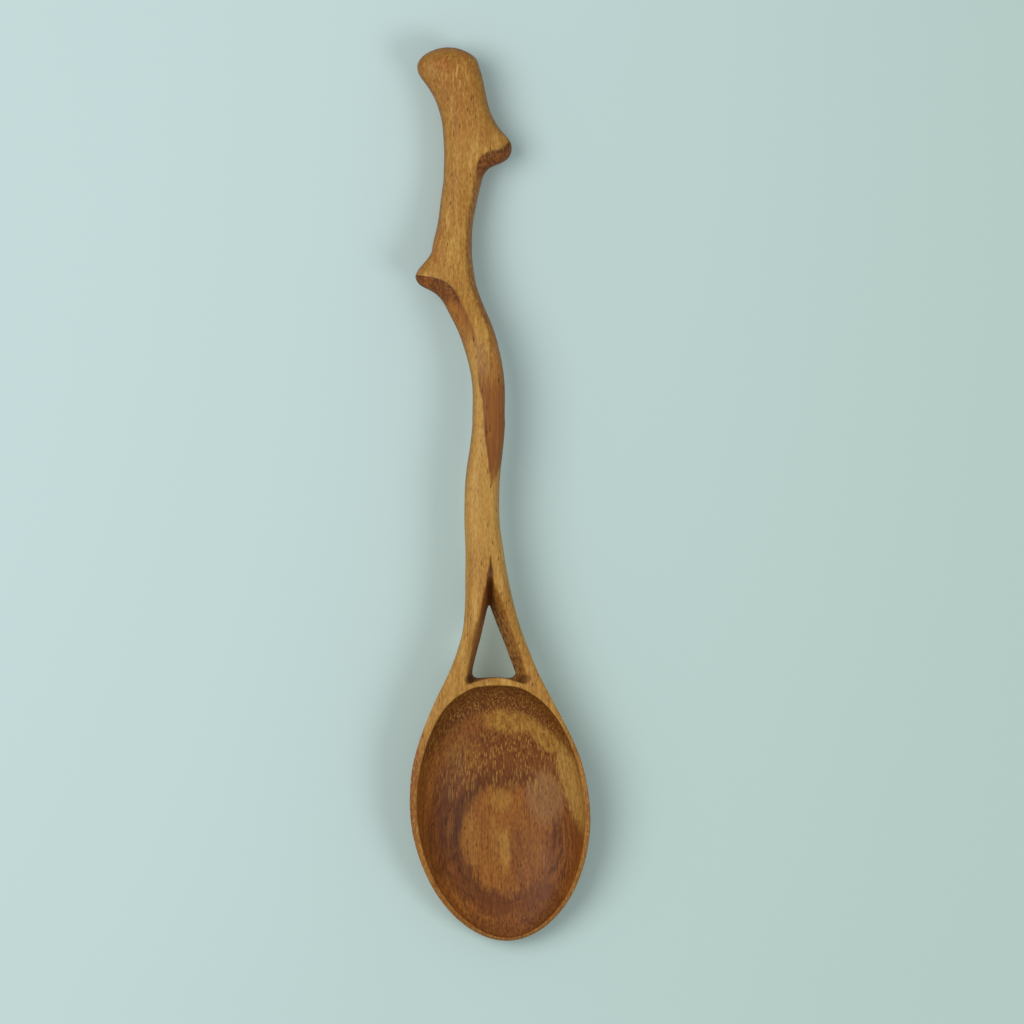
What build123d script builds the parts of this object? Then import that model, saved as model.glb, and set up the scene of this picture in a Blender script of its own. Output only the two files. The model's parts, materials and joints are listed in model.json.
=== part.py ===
from build123d import *
import math
import os

# Wooden spoon with a twig handle, carved from one billet. Millimetres.
# It lies on a table at z = 0, bowl upwards. +Y runs along the handle to its end, and the origin is on the
# small sanded flat under the bowl. The handle sways and has two stubs, as on the twig that it imitates, and
# it starts at the bowl as a fork, with a window between its two legs.

# Bowl: its length is from the outside of the tip to the back of the hollow.
bowl_length = 57.4
bowl_width = 40.4
bowl_front_length = 29.7
flat_to_tip = 28.2
bowl_lean_angle = 2.9
tip_rim_height = 5.6
back_rim_height = 15.4
back_keel_height = 6.3
rim_rounding = 1.0

# Hollow of the bowl.
rim_width = 1.35
tip_rim_width = 0.6
rim_offset = 0.15
hollow_sway = 0.55
floor_thickness = 2.9
hollow_lift = 0.4

# Fork: two legs round a window, from the back of the hollow to the top of the crotch.
fork_length = 24.6
fork_height = 16.4
fork_thickness = 8.9
bridge_width = 1.6
bridge_sag = 1.5
left_leg_top_width = 4.1
left_leg_bottom_width = 5.3
right_leg_top_width = 2.5
right_leg_bottom_width = 5.6
crotch_groove_length = 7.2
window_corner_radius = 0.8

# Shaft: it sways to one side, and sinks towards the table on its way to the knob.
neck_width = 9.5
shaft_width = 7.6
shaft_thickness = 8.6
shaft_sway = 10.0
waist_height = 15.0
heel_height = 10.4

# The shaft's stretches: a plain one, a stub on the left, a plain one, a stub on the right, and the swelling
# into the knob. A stub's reach is how far it stands out of the shaft.
waist_length = 60.6
lower_stub_length = 12.4
lower_stub_reach = 4.6
stub_gap = 15.7
upper_stub_length = 18.5
upper_stub_reach = 6.8
knob_neck_length = 6.5

# Knob at the end.
knob_width = 14.1
knob_sway = 11.6
knob_height = 12.2
knob_thickness = 9.6
knob_cap_length = 4.5

# Sanded flats under the bowl and the heel, how far a cut runs past what it cuts, and the least and most
# distance from one section to the next.
flat_depth = 0.16
overrun = 3.0
least_step = 0.7
most_step = 4.2

# How full a section's corners are: 0.55 is an ellipse, and more is squarer.
bowl_top_share = 0.92
shaft_top_share = 0.74
hull_share = 0.60
hollow_share = 0.59

# Powers of the sine along the bowl: 1 is an ellipse, less is blunter and more is more pointed.
tip_power_share = 1.05
hollow_width_power_shares = (1.10, 0.85)
hollow_depth_power_shares = (1.50, 0.80)
hollow_depth_shares = (0.87, 1.16)

# Height of the rim, from the tip's to the back's, along the bowl.
RIM_SHARES = [
    (0.00, 0.00),
    (0.07, 0.16),
    (0.14, 0.30),
    (0.23, 0.45),
    (0.32, 0.56),
    (0.41, 0.65),
    (0.52, 0.74),
    (0.67, 0.84),
    (0.84, 0.93),
    (1.00, 1.00),
]

# The bowl behind its widest line: place, half width, height of the keel.
BOWL_BACK_SHARES = [
    (0.00, 1.000, 0.00),
    (0.16, 0.985, 0.01),
    (0.30, 0.957, 0.07),
    (0.42, 0.916, 0.17),
    (0.55, 0.853, 0.33),
    (0.68, 0.777, 0.52),
    (0.81, 0.690, 0.72),
    (1.00, 0.560, 1.00),
]

# The fork: place, flare left over the neck's width, sideways step, rise of the crown.
FORK_SHARES = [
    (0.08, 0.85, 0.00, 0.30),
    (0.23, 0.61, 0.02, 0.66),
    (0.37, 0.43, 0.09, 0.85),
    (0.52, 0.28, 0.28, 0.96),
    (0.66, 0.16, 0.47, 1.00),
    (0.81, 0.08, 0.69, 1.00),
]

# The shaft from the crotch on: place, sway and width.
SHAFT_SHARES = [
    (0.000, 0.305, 1.250),
    (0.054, 0.352, 1.126),
    (0.116, 0.407, 1.042),
    (0.179, 0.396, 1.030),
    (0.243, 0.316, 0.997),
    (0.306, 0.250, 0.970),
    (0.369, 0.253, 0.966),
    (0.432, 0.368, 1.021),
    (0.464, 0.470, 1.055),
    (0.495, 0.600, 1.100),
    (0.527, 0.776, 1.132),
    (0.582, 0.990, 1.158),
    (0.644, 1.073, 1.166),
    (0.692, 1.000, 1.045),
    (0.740, 0.920, 1.088),
    (0.785, 0.830, 1.151),
    (0.834, 0.835, 1.112),
    (0.889, 0.850, 1.184),
]

# The swelling into the knob: place on the shaft, sway and width.
KNOB_SHARES = [
    (0.937, 0.763, 0.815),
    (0.968, 0.880, 0.936),
    (0.984, 0.949, 0.989),
    (1.000, 1.000, 1.000),
]

# Heights along the shaft: place, and how far the line has gone from one height to the next.
FORK_TO_WAIST_SHARES = [
    (0.000, 0.07),
    (0.116, 0.43),
    (0.243, 0.86),
    (0.306, 1.00),
]
WAIST_TO_HEEL_SHARES = [
    (0.432, 0.08),
    (0.527, 0.20),
    (0.582, 0.34),
    (0.644, 0.56),
    (0.705, 0.85),
    (0.770, 1.00),
]
HEEL_TO_KNOB_SHARES = [
    (0.834, 0.30),
    (0.889, 0.62),
    (0.940, 0.86),
    (1.000, 1.00),
]

# How high a section's widest line lies behind the bowl, as a share of the thickness: place and height.
FORK_EDGE_SHARES = [
    (0.50, 0.68),
    (1.00, 0.61),
]
SHAFT_EDGE_SHARES = [
    (0.10, 0.58),
    (1.00, 0.58),
]

# Outlines of the stubs: place and reach. Each is steep on the bowl's side and long towards the knob.
LOWER_STUB_SHARES = [
    (0.00, 0.00),
    (0.09, 0.08),
    (0.16, 0.17),
    (0.24, 0.37),
    (0.31, 0.70),
    (0.38, 0.92),
    (0.50, 1.00),
    (0.59, 0.88),
    (0.66, 0.70),
    (0.74, 0.49),
    (0.83, 0.28),
    (0.91, 0.10),
    (1.00, 0.00),
]
UPPER_STUB_SHARES = [
    (0.00, 0.00),
    (0.09, 0.12),
    (0.14, 0.28),
    (0.19, 0.60),
    (0.24, 0.84),
    (0.29, 0.95),
    (0.36, 1.00),
    (0.43, 0.97),
    (0.52, 0.81),
    (0.57, 0.68),
    (0.67, 0.48),
    (0.77, 0.30),
    (0.87, 0.14),
    (1.00, 0.00),
]

# Angles at which sections are drawn round the tip, the hollow and the knob's cap.
TIP_ANGLES = [3, 8, 16, 25, 35, 46, 58, 72]
HOLLOW_ANGLES = [4, 8, 16, 25, 35, 46, 58, 72, 90, 108, 122, 134, 145, 155, 164, 172, 176]
CAP_ANGLES = [72, 54, 38, 24, 12, 3]

# Places along the spoon.
tip_y = -flat_to_tip
widest_y = tip_y + bowl_front_length
back_y = tip_y + bowl_length
crotch_y = back_y + fork_length
lower_stub_y = crotch_y + waist_length
lower_stub_end_y = lower_stub_y + lower_stub_length
upper_stub_y = lower_stub_end_y + stub_gap
upper_stub_end_y = upper_stub_y + upper_stub_length
cap_y = upper_stub_end_y + knob_neck_length
end_y = cap_y + knob_cap_length
nose_height = tip_rim_height - rim_rounding
bowl_half = bowl_width / 2
lean = math.tan(math.radians(bowl_lean_angle))


def follow(points, place):
    """Read the smooth curve through (place, value) points, which never overshoots them."""
    steps = list(zip(points, points[1:]))
    slopes = [(b[1] - a[1]) / (b[0] - a[0]) for a, b in steps]
    tangents = [slopes[0]]
    for before, after in zip(slopes, slopes[1:]):
        same_way = before * after > 0
        tangents.append(2 * before * after / (before + after) if same_way else 0)
    tangents.append(slopes[-1])
    place = min(max(place, points[0][0]), points[-1][0])
    index = next(i for i, (a, b) in enumerate(steps) if place <= b[0])
    a, b = steps[index]
    span = b[0] - a[0]
    t = (place - a[0]) / span
    bend = span * t * (1 - t) * ((1 - t) * tangents[index] - t * tangents[index + 1])
    ease = t * t * (3 - 2 * t)
    return a[1] + (b[1] - a[1]) * ease + bend


def between(start, end, share):
    """The value that lies a share of the way from start to end."""
    return start + (end - start) * share


def bowl_at(share):
    return between(tip_y, back_y, share)


def bowl_back_at(share):
    return between(widest_y, back_y, share)


def fork_at(share):
    return between(back_y, crotch_y, share)


def shaft_at(share):
    return between(crotch_y, cap_y, share)


# The lines that run along the whole spoon, as (y, value) points.
back_half = bowl_half * BOWL_BACK_SHARES[-1][1]
back_x = -lean * (back_y - widest_y)
neck_x = -shaft_sway * SHAFT_SHARES[0][1]

centre_line = [(tip_y, lean * bowl_front_length), (widest_y, 0)]
centre_line += [((widest_y + back_y) / 2, back_x / 2), (back_y, back_x)]
centre_line += [(fork_at(p), between(back_x, neck_x, step)) for p, _, step, _ in FORK_SHARES]
centre_line += [(shaft_at(p), -shaft_sway * sway) for p, sway, width in SHAFT_SHARES]
centre_line += [(shaft_at(p), -knob_sway * sway) for p, sway, width in KNOB_SHARES]

half_line = [(bowl_back_at(p), bowl_half * width) for p, width, keel in BOWL_BACK_SHARES]
half_line += [(fork_at(p), between(neck_width / 2, back_half, flare)) for p, flare, _, _ in FORK_SHARES]
half_line += [(crotch_y, neck_width / 2)]
half_line += [(shaft_at(p), shaft_width / 2 * width) for p, sway, width in SHAFT_SHARES[1:]]
half_line += [(shaft_at(p), knob_width / 2 * width) for p, sway, width in KNOB_SHARES]

crown_line = [(bowl_at(p), between(tip_rim_height, back_rim_height, rise)) for p, rise in RIM_SHARES]
crown_line += [(fork_at(p), between(back_rim_height, fork_height, rise)) for p, _, _, rise in FORK_SHARES]
crown_line += [(shaft_at(p), between(fork_height, waist_height, fall)) for p, fall in FORK_TO_WAIST_SHARES]
crown_line += [(shaft_at(p), between(waist_height, heel_height, fall)) for p, fall in WAIST_TO_HEEL_SHARES]
crown_line += [(shaft_at(p), between(heel_height, knob_height, rise)) for p, rise in HEEL_TO_KNOB_SHARES]

fork_keel = fork_height - fork_thickness
waist_keel = waist_height - shaft_thickness
knob_keel = knob_height - knob_thickness
keel_line = [(bowl_back_at(p), back_keel_height * keel) for p, width, keel in BOWL_BACK_SHARES]
keel_line += [(fork_at(p), between(back_keel_height, fork_keel, rise)) for p, _, _, rise in FORK_SHARES]
keel_line += [(shaft_at(p), between(fork_keel, waist_keel, fall)) for p, fall in FORK_TO_WAIST_SHARES]
keel_line += [(shaft_at(p), between(waist_keel, -flat_depth, fall)) for p, fall in WAIST_TO_HEEL_SHARES]
keel_line += [(shaft_at(p), between(-flat_depth, knob_keel, rise)) for p, rise in HEEL_TO_KNOB_SHARES]

rim_edge_share = 1 - rim_rounding / (back_rim_height - back_keel_height)
edge_line = [(back_y, rim_edge_share)]
edge_line += [(fork_at(p), height) for p, height in FORK_EDGE_SHARES]
edge_line += [(shaft_at(p), height) for p, height in SHAFT_EDGE_SHARES]
top_line = [(back_y, bowl_top_share), (crotch_y, shaft_top_share), (cap_y, shaft_top_share)]
knob_edge = between(knob_keel, knob_height, SHAFT_EDGE_SHARES[-1][1])


def ring(y, left, right, middle, top, edge, bottom, top_fullness, bottom_fullness):
    """A closed section across the spoon at y: four curves from edge to crown, edge, keel and edge."""
    points = [(left, edge), (middle, top), (right, edge), (middle, bottom)]
    fullness = [top_fullness, top_fullness, bottom_fullness, bottom_fullness]
    curves = []
    for index, full in enumerate(fullness):
        x0, z0 = points[index]
        x1, z1 = points[(index + 1) % len(points)]
        if index % 2 == 0:
            handles = [(x0, between(z0, z1, full)), (between(x1, x0, full), z1)]
        else:
            handles = [(between(x0, x1, full), z0), (x1, between(z1, z0, full))]
        corners = [(x0, z0), *handles, (x1, z1)]
        curves.append(Edge.make_bezier(*[(x, y, z) for x, z in corners]))
    return Wire(curves)


def bowl_front_ring(angle):
    """A section of the bowl in front of its widest line, at an angle round the tip."""
    sine = math.sin(math.radians(angle))
    y = widest_y - bowl_front_length * math.cos(math.radians(angle))
    half = bowl_half * sine ** tip_power_share
    middle = follow(centre_line, y)
    edge = follow(crown_line, y) - rim_rounding
    into_rim = 1 - min((y - tip_y) / rim_rounding, 1)
    top = edge + rim_rounding * math.sqrt(1 - into_rim ** 2)
    bottom = between(nose_height, -flat_depth, sine)
    return ring(y, middle - half, middle + half, middle, top, edge, bottom, bowl_top_share, hull_share)


def body_ring(y):
    """A section at or behind the bowl's widest line, with whatever stub stands out of it there."""
    middle = follow(centre_line, y)
    half = follow(half_line, y)
    lower = (y - lower_stub_y) / lower_stub_length
    upper = (y - upper_stub_y) / upper_stub_length
    left = middle - half - lower_stub_reach * follow(LOWER_STUB_SHARES, lower)
    right = middle + half + upper_stub_reach * follow(UPPER_STUB_SHARES, upper)
    top = follow(crown_line, y)
    bottom = follow(keel_line, y)
    if y < back_y:
        bottom -= flat_depth * (back_y - y) / (back_y - widest_y)
        edge = top - rim_rounding
    else:
        edge = between(bottom, top, follow(edge_line, y))
    return ring(y, left, right, middle, top, edge, bottom, follow(top_line, y), hull_share)


def cap_ring(angle):
    """A section of the knob's rounded end, at an angle that is 90 at the knob and 0 at the end."""
    sine = math.sin(math.radians(angle))
    y = cap_y + knob_cap_length * math.cos(math.radians(angle))
    half = knob_width / 2 * sine
    top = between(knob_edge, knob_height, sine)
    bottom = between(knob_edge, knob_keel, sine)
    left, right = -knob_sway - half, -knob_sway + half
    return ring(y, left, right, -knob_sway, top, knob_edge, bottom, shaft_top_share, hull_share)


def stations(start, end):
    """The places of the sections from start to end, none too close to the one before or too far."""
    places = [bowl_back_at(p) for p, width, keel in BOWL_BACK_SHARES]
    places += [fork_at(p) for p, _, _, _ in FORK_SHARES]
    places += [shaft_at(p) for p, _, _ in SHAFT_SHARES + KNOB_SHARES]
    places += [lower_stub_y + lower_stub_length * p for p, reach in LOWER_STUB_SHARES]
    places += [upper_stub_y + upper_stub_length * p for p, reach in UPPER_STUB_SHARES]
    kept = [start]
    for y in sorted(places):
        if y - kept[-1] > least_step and end - y > least_step:
            kept.append(y)
    kept.append(end)
    halfway = [(a + b) / 2 for a, b in zip(kept, kept[1:]) if b - a > most_step]
    return sorted(kept + halfway)


def carve_blank():
    """The outside of the whole spoon: a smooth skin through its sections, in stretches that meet."""
    fork_seam, waist_seam = fork_at(FORK_SHARES[3][0]), shaft_at(SHAFT_SHARES[5][0])
    seams = [widest_y, fork_seam, waist_seam, lower_stub_y, lower_stub_end_y, upper_stub_y, cap_y]
    stretches = [[body_ring(y) for y in stations(*ends)] for ends in zip(seams, seams[1:])]
    stretches[0] = [bowl_front_ring(angle) for angle in TIP_ANGLES] + stretches[0]
    stretches[-1] += [cap_ring(angle) for angle in CAP_ANGLES]
    first, *others = [Solid.make_loft(rings) for rings in stretches]
    return first.fuse(*others)


def hollow_cutter():
    """The bowl's hollow as a closed egg, whose upper half stands above the rim."""
    half_length = (bowl_length - tip_rim_width) / 2
    middle_y = back_y - half_length
    full_half = bowl_half - rim_width
    full_depth = follow(crown_line, middle_y) - floor_thickness

    rings = []
    for angle in HOLLOW_ANGLES:
        sine = math.sin(math.radians(angle))
        place = (1 - math.cos(math.radians(angle))) / 2
        y = between(middle_y - half_length, middle_y + half_length, place)
        half = full_half * sine ** between(*hollow_width_power_shares, place)
        depth = full_depth * between(*hollow_depth_shares, place)
        depth *= sine ** between(*hollow_depth_power_shares, place)
        middle = follow(centre_line, y) + rim_offset
        middle += hollow_sway * max(0, y - middle_y) / half_length
        rim = follow(crown_line, y)
        edge = rim + hollow_lift
        rings.append(ring(
            y, middle - half, middle + half, middle,
            edge + overrun * sine, edge, rim - depth, hollow_share, hollow_share,
        ))
    return Solid.make_loft(rings)


def window_outline(left_leg, right_leg, apex_y, z):
    """The window at height z: two sides along the legs, an arched foot, and rounded corners."""
    foot_y = back_y + bridge_width - bridge_sag / 2
    left = follow(centre_line, foot_y) - follow(half_line, foot_y) + left_leg
    right = follow(centre_line, foot_y) + follow(half_line, foot_y) - right_leg
    apex_left = follow(centre_line, apex_y) - follow(half_line, apex_y) + left_leg
    apex_right = follow(centre_line, apex_y) + follow(half_line, apex_y) - right_leg
    apex = (apex_left + apex_right) / 2
    sag = bridge_sag * (right - left) / back_half
    foot = ThreePointArc((left, foot_y), ((left + right) / 2, foot_y + sag), (right, foot_y))
    sides = Polyline((right, foot_y), (apex, apex_y), (left, foot_y))
    face = make_face([foot, *sides.edges()])
    face = fillet(face.vertices(), window_corner_radius)
    return (Pos(0, 0, z) * face).face().outer_wire()


def window_cutter():
    """A tapered plug for the window: a groove at the crotch and a bevel on the right leg."""
    top_z = fork_height
    bottom_z = fork_keel
    top = (left_leg_top_width, right_leg_top_width, crotch_y)
    bottom = (left_leg_bottom_width, right_leg_bottom_width, crotch_y - crotch_groove_length)
    outlines = [
        window_outline(*bottom, bottom_z - overrun),
        window_outline(*bottom, bottom_z),
        window_outline(*top, top_z),
        window_outline(*top, top_z + overrun),
    ]
    return Solid.make_loft(outlines, ruled=True)


def make_spoon():
    """Carve the blank, sand its flats, then cut the hollow and the window."""
    blank = carve_blank()
    anchor = (Align.CENTER, Align.MIN, Align.MAX)
    table = Box(bowl_width + shaft_sway * 2, end_y - tip_y, overrun, align=anchor)
    body = blank - Pos(0, tip_y, 0) * table
    body = body - hollow_cutter()
    body = body - window_cutter()
    return body


spoon = make_spoon()
os.makedirs("parts", exist_ok=True)
export_step(spoon, "parts/spoon.step")
print("volume", round(spoon.volume), "valid", spoon.is_valid)
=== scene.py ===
# %% [markdown]
# # A wooden spoon with a twig handle
#
# The real spoon is carved from one piece of wood. A maker draws its plan on a board, saws the plan out, and
# then carves and sands the top, the underside and the hollow until callipers say that each place is right.
# This notebook works in the same order. It draws a flat plan, gives it the thickness of the board, carves it
# to the sizes of the CAD model, and at the end gives it oiled wood as its material.

# %% Load the frame
import json
import math

import bmesh
import bpy
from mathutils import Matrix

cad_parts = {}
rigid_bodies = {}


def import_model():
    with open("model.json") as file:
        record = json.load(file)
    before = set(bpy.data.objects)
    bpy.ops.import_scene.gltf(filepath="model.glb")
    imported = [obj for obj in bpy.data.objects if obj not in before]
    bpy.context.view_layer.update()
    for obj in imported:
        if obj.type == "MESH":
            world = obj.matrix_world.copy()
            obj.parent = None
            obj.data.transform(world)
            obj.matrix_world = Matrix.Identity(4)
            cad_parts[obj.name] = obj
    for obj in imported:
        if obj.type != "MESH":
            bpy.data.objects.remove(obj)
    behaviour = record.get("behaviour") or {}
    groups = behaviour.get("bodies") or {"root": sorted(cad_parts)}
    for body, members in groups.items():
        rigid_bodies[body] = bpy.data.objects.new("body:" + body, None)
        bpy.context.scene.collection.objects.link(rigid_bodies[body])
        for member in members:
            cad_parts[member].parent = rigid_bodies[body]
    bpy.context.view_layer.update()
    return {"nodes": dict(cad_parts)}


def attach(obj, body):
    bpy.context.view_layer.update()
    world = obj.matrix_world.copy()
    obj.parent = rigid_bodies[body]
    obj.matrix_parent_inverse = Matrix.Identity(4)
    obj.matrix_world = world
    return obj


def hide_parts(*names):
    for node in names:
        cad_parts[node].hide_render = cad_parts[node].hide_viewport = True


bpy.ops.object.select_all(action="SELECT")
bpy.ops.object.delete()
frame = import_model()

from mathutils import Vector
from mathutils.bvhtree import BVHTree
from mathutils.kdtree import KDTree

mm = 0.001

# %% [markdown]
# ## The table, the light and the camera
#
# The photograph looks straight down on the spoon, on a pale blue-green table. The shadows say where the light
# is. A soft lamp on the left throws the main shadow to the right, a weaker one on the right fills it, and
# the room does the rest. The camera stands far away with a long lens, because then a point that is higher
# than the table isn't pushed outwards, which is how the plan of the spoon was measured.

# %% Lay the table
table_size = 3.0
hair = 0.02 * mm
bpy.ops.object.select_all(action="DESELECT")
bpy.ops.mesh.primitive_plane_add(size=table_size, location=(0, 0, -hair))
table = bpy.context.object
table.name = "table_top"
print("table:", table_size, "m square")

# %% Hang the lamps
middle_of_view = Vector((2.7 * mm, 68.0 * mm, 0))


def hang_lamp(name, turn, height, distance, width, watts, colour):
    """A soft round lamp, turn degrees round from +X and height degrees above the table."""
    level = math.cos(math.radians(height))
    way = Vector((
        level * math.cos(math.radians(turn)),
        level * math.sin(math.radians(turn)),
        math.sin(math.radians(height)),
    ))
    bpy.ops.object.light_add(type="AREA", location=middle_of_view + way * distance)
    lamp = bpy.context.object
    lamp.name = name
    lamp.data.shape = "DISK"
    lamp.data.size = width
    lamp.data.energy = watts
    lamp.data.color = colour
    lamp.rotation_euler = way.to_track_quat("Z", "Y").to_euler()
    lamp.visible_camera = False
    return lamp


key_lamp = hang_lamp(
    "key_lamp", turn=165, height=58, distance=1.0, width=0.74, watts=5.1, colour=(1.0, 0.985, 0.96)
)
fill_lamp = hang_lamp(
    "fill_lamp", turn=-25, height=51, distance=1.0, width=0.45, watts=2.3, colour=(0.97, 1.0, 1.0)
)
room_colour = (0.86, 0.93, 0.95, 1)
room_strength = 0.42
room = bpy.data.worlds.new("room_light")
room.use_nodes = True
room.node_tree.nodes["Background"].inputs["Color"].default_value = room_colour
room.node_tree.nodes["Background"].inputs["Strength"].default_value = room_strength
bpy.context.scene.world = room
bpy.context.scene.view_settings.view_transform = "Standard"
print("lamps:", key_lamp.name, fill_lamp.name)

# %% Set up the camera
picture_pixels = 1024
millimetres_per_pixel = 0.2242
origin_pixel = (500, 815)
camera_distance = 10.0
sensor_width = 36

view_width = picture_pixels * millimetres_per_pixel * mm
view_x = (picture_pixels / 2 - origin_pixel[0]) * millimetres_per_pixel * mm
view_y = (origin_pixel[1] - picture_pixels / 2) * millimetres_per_pixel * mm
bpy.ops.object.camera_add(location=(view_x, view_y, camera_distance), rotation=(0, 0, 0))
camera = bpy.context.object
camera.name = "camera_above"
camera.data.sensor_width = sensor_width
camera.data.lens = sensor_width * camera_distance / view_width
camera.data.clip_end = 2 * camera_distance
bpy.context.scene.camera = camera
print("lens:", round(camera.data.lens), "mm, view:", round(view_width / mm, 1), "mm wide")

# %% [markdown]
# ## Callipers
#
# A carver checks the work with callipers and a depth gauge. Here rays do it, on the CAD model's skin. A ray
# let down from above finds the height of the top, one from below finds the underside, and a row of level
# rays finds the widest place of a side. The new mesh takes its sizes from these, so it fits the CAD model
# without any table of numbers.

# %% Make the callipers
cad_spoon = frame["nodes"]["spoon"]
skin = BVHTree.FromPolygons(
    [vertex.co for vertex in cad_spoon.data.vertices],
    [polygon.vertices for polygon in cad_spoon.data.polygons],
)
reach = 60 * mm
ray_nudges = (-0.02, 0.0, 0.02)
walk_steps = 60
walk_share = 0.02
jaw_heights = [step * 0.1 * mm for step in range(1, 171)]
same_width = 0.01 * mm


def flat(x, y):
    """A point on the plan, given in millimetres."""
    return Vector((x * mm, y * mm, 0))


def share_of_way(start, end, share):
    """The point that lies a share of the way from start to end."""
    return start + (end - start) * share


def gauge(point, towards, down):
    """Height of the skin at a point of the plan, above if down is true and below if not.

    A point just past an edge is walked towards a point inside until the rays meet wood. One ray can slip
    through the seam between two facets, so three are sent side by side and the middle height counts."""
    way = Vector((0, 0, -1)) if down else Vector((0, 0, 1))
    for step in range(walk_steps):
        at = share_of_way(point, towards, step * walk_share)
        starts = [Vector((at.x + nudge * mm, at.y - nudge * mm, 0)) - way * reach for nudge in ray_nudges]
        hits = [skin.ray_cast(start, way)[0] for start in starts]
        heights = sorted(hit.z for hit in hits if hit)
        if len(heights) == len(ray_nudges):
            return heights[1]
    return 0.0


def jaw(point, way):
    """The widest point of the skin beyond a point, in the level direction way."""
    way = Vector((way.x, way.y, 0)).normalized()
    touches = []
    for height in jaw_heights:
        start = Vector((point.x, point.y, height)) + way * reach
        hit = skin.ray_cast(start, -way)[0]
        if hit:
            touches.append(hit)
    furthest = max(touch.dot(way) for touch in touches)
    widest = [touch for touch in touches if furthest - touch.dot(way) < same_width]
    return sum(widest, Vector()) / len(widest)


bowl_middle = flat(0, 1.5)
left_side = jaw(bowl_middle, Vector((-1, 0, 0)))
right_side = jaw(bowl_middle, Vector((1, 0, 0)))
print("bowl across:", round((right_side - left_side).length / mm, 2), "mm")

# %% [markdown]
# ## The plan of the bowl
#
# The bowl is an egg, so its plan starts as a circle of 36 corners, narrowed to the bowl's width. Insetting
# the face again and again gives the rings that a bowl needs: the outside of the rim, its inside edge, the
# wall of the hollow and its floor. The middle is filled with a grid, because 36 triangles that meet in one
# point would show as a star under a glossy finish.

# %% Draw the bowl's rings
spokes = 36
spoke_degrees = 360 // spokes
bowl_half_width = 20.2
bowl_front_length = 28.4
ring_shares = (1.0, 0.93, 0.89, 0.82, 0.73, 0.61, 0.47)

bpy.ops.object.select_all(action="DESELECT")
bpy.ops.mesh.primitive_circle_add(
    vertices=spokes, radius=bowl_front_length * mm, fill_type="NGON", location=bowl_middle
)
spoon = bpy.context.object
spoon.name = "carved_spoon"
bpy.ops.object.transform_apply(location=True, rotation=False, scale=False)
bpy.ops.object.mode_set(mode="EDIT")
bpy.ops.mesh.select_mode(type="FACE")
bpy.ops.mesh.select_all(action="SELECT")
narrowing = bowl_half_width / bowl_front_length
bpy.ops.transform.resize(value=(narrowing, 1, 1), center_override=bowl_middle)
for wider, narrower in zip(ring_shares, ring_shares[1:]):
    bpy.ops.mesh.inset(thickness=0, depth=0)
    step = narrower / wider
    bpy.ops.transform.resize(value=(step, step, 1), center_override=bowl_middle)
print("rings:", len(ring_shares), "with", spokes, "corners each")

# %% Fill the middle of the bowl with a grid
grid_span = 9
grid_offset = 4
share_slack = 0.01
bpy.ops.mesh.delete(type="ONLY_FACE")
bpy.ops.mesh.select_mode(type="EDGE")


def egg_place(point):
    """Where a point of the plan lies on the egg: the share of its radius, and the angle in degrees."""
    across = (point.x - bowl_middle.x) / (bowl_half_width * mm)
    along = (point.y - bowl_middle.y) / (bowl_front_length * mm)
    return math.hypot(across, along), math.degrees(math.atan2(along, across)) % 360


def edit_mesh():
    """The mesh that is being edited, with its lists ready to be read by number."""
    mesh = bmesh.from_edit_mesh(spoon.data)
    mesh.verts.ensure_lookup_table()
    mesh.edges.ensure_lookup_table()
    return mesh


def select_edges(wanted):
    """Select only the edges for which wanted is true."""
    bpy.ops.mesh.select_all(action="DESELECT")
    mesh = edit_mesh()
    for edge in mesh.edges:
        if wanted(edge):
            edge.select_set(True)
    bmesh.update_edit_mesh(spoon.data)


def on_last_ring(edge):
    return all(egg_place(corner.co)[0] < ring_shares[-1] + share_slack for corner in edge.verts)


select_edges(on_last_ring)
bpy.ops.mesh.fill_grid(span=grid_span, offset=grid_offset)
print("faces in the bowl's plan:", len(edit_mesh().faces))

# %% [markdown]
# ## The plan of the legs and the shaft
#
# The handle starts as a fork. Each leg grows out of two edges of the bowl's outline, row after row, by
# extruding edges, and at the crotch the inner corners of the two legs are merged. That closes the window
# with no hole to cut. The rows of the shaft follow, close together where the twig's stubs stand out.
#
# A row is known by its two sides. On a leg those are the outer side and the window's edge, which was
# measured in the photograph. On the shaft the callipers find both.

# %% Measure the window
# Top edge of the window along each leg, from the foot to the crotch, in millimetres.
left_top_edge = [
    (-7.35, 29.6), (-7.1, 33.1), (-6.2, 36.6), (-5.2, 40.4), (-4.4, 44.5), (-3.8, 48.4), (-3.1, 51.6),
]
right_top_edge = [
    (6.15, 29.7), (5.5, 33.2), (4.5, 36.8), (3.1, 40.5), (1.75, 44.4), (0.45, 48.3), (-0.95, 51.7),
]
crotch_top = flat(-2.1, 53.9)

# Bottom edge, where the light comes through.
left_bottom_edge = [
    (-6.15, 31.6), (-5.75, 34.2), (-5.05, 37.0), (-4.3, 39.8), (-3.7, 42.4), (-3.2, 44.5), (-2.85, 46.0),
]
right_bottom_edge = [
    (3.35, 31.7), (2.45, 34.4), (1.6, 36.8), (0.6, 39.4), (-0.5, 42.1), (-1.35, 44.3), (-1.95, 45.8),
]
crotch_bottom = flat(-2.4, 46.9)

# Foot of the window, from the right corner to the left one: top edge, then bottom edge.
foot_top_edge = [(6.15, 29.7), (3.6, 30.0), (-0.67, 30.9), (-5.2, 30.0), (-7.35, 29.6)]
foot_bottom_edge = [(3.35, 31.7), (2.0, 30.8), (-1.6, 30.95), (-4.9, 30.8), (-6.15, 31.6)]

# Where each row meets the outer side of a leg.
leg_side_ys = [23.1, 27.6, 32.0, 36.5, 41.0, 45.5, 49.8, 53.9]
print("window:", round(right_top_edge[0][0] - left_top_edge[0][0], 1), "mm wide at the foot")

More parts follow.
